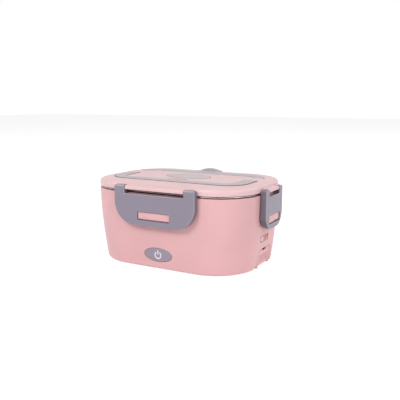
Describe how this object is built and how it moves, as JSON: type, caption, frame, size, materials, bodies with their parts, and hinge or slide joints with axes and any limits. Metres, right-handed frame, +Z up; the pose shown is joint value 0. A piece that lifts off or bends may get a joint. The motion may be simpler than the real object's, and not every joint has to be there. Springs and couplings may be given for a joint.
{
  "type": "electric lunch box",
  "caption": "Heated lunch box: rounded plastic case with a steel container, clipped lift-off lid, folding handle, vent plug, power button and socket door.",
  "frame": {"origin": "on the table under the middle of the box", "axes": "+X along the length towards the end with the socket, the front with the power button faces -Y, +Z up"},
  "size_m": [0.237, 0.169, 0.1084],
  "materials": {
    "pink_case": "satin pink plastic",
    "pink_lid": "satin light pink plastic",
    "grey_clip": "satin violet grey plastic",
    "grey_button": "satin grey plastic with a white power sign",
    "light_grey": "satin light grey plastic",
    "plug_silicone": "soft grey silicone",
    "seal_silicone": "milky silicone",
    "container_steel": "brushed stainless steel",
    "screw_steel": "bright steel",
    "aluminium": "machined",
    "white_plastic": "satin white plastic",
    "black_plastic": "matt black plastic",
    "heater_ceramic": "cream insulation",
    "board_green": "lacquered board",
    "led_white": "clear epoxy",
    "foot_rubber": "matt rubber",
    "label_film": "printed film without words"
  },
  "bodies": {
    "base": {"body_shell": "pink_case", "bottom_cover": "pink_case", "rubber_feet": "foot_rubber", "cover_screws": "screw_steel", "heater_well": "white_plastic", "heating_plate": "aluminium", "ptc_heater": "heater_ceramic", "heater_bracket": "screw_steel", "bracket_screws": "screw_steel", "thermostat": "black_plastic", "thermal_fuse": "heater_ceramic", "control_board": "board_green", "board_screws": "screw_steel", "tact_switch": "black_plastic", "indicator_led": "led_white", "power_inlet": "black_plastic", "inlet_pins": "screw_steel", "steel_container": "container_steel", "door_pin": "screw_steel", "side_label": "label_film"},
    "button": {"power_button": "grey_button"},
    "door": {"socket_door": "pink_case"},
    "lid": {"lid_shell": "pink_lid", "inner_lid": "white_plastic", "lid_seal": "seal_silicone", "handle_pins": "screw_steel", "back_trim": "light_grey", "front_clip_pin": "screw_steel", "back_clip_pin": "screw_steel", "left_clip_pin": "screw_steel", "right_clip_pin": "screw_steel"},
    "plug": {"vent_plug": "plug_silicone"},
    "handle": {"lid_handle": "light_grey"},
    "front_latch": {"front_clip": "grey_clip"},
    "back_latch": {"back_clip": "grey_clip"},
    "left_latch": {"left_clip": "grey_clip"},
    "right_latch": {"right_clip": "grey_clip"}
  },
  "joints": [
    {"name": "lid_lift", "type": "slide", "parent": "base", "child": "lid", "axis": [0, 0, 1], "range_m": [0, 0.05]},
    {"name": "front_clip_open", "type": "hinge", "parent": "lid", "child": "front_latch", "pos_m": [0, -0.081, 0.0982], "axis": [-1, 0, 0], "range_deg": [0, 110]},
    {"name": "back_clip_open", "type": "hinge", "parent": "lid", "child": "back_latch", "pos_m": [0, 0.081, 0.0982], "axis": [1, 0, 0], "range_deg": [0, 110]},
    {"name": "left_clip_open", "type": "hinge", "parent": "lid", "child": "left_latch", "pos_m": [-0.1156, 0, 0.0964], "axis": [0, 1, 0], "range_deg": [0, 110]},
    {"name": "right_clip_open", "type": "hinge", "parent": "lid", "child": "right_latch", "pos_m": [0.1156, 0, 0.0964], "axis": [0, -1, 0], "range_deg": [0, 110]},
    {"name": "handle_fold", "type": "hinge", "parent": "lid", "child": "handle", "pos_m": [0, 0.004, 0.1022], "axis": [-1, 0, 0], "range_deg": [0, 90]},
    {"name": "vent_plug_pull", "type": "slide", "parent": "lid", "child": "plug", "axis": [0, 0, 1], "range_m": [0, 0.006]},
    {"name": "button_press", "type": "slide", "parent": "base", "child": "button", "axis": [0, 1, 0], "range_m": [0, 0.0008], "stiffness_N_per_m": 1500},
    {"name": "door_swing", "type": "hinge", "parent": "base", "child": "door", "pos_m": [0.10291, 0, 0.0046], "axis": [0, 1, 0], "range_deg": [0, 90]}
  ],
  "couplings": [
    {"joint": "front_clip_open", "follows": "lid_lift", "rad_per_m": 38.3},
    {"joint": "back_clip_open", "follows": "lid_lift", "rad_per_m": 38.3},
    {"joint": "left_clip_open", "follows": "lid_lift", "rad_per_m": 38.3},
    {"joint": "right_clip_open", "follows": "lid_lift", "rad_per_m": 38.3}
  ]
}
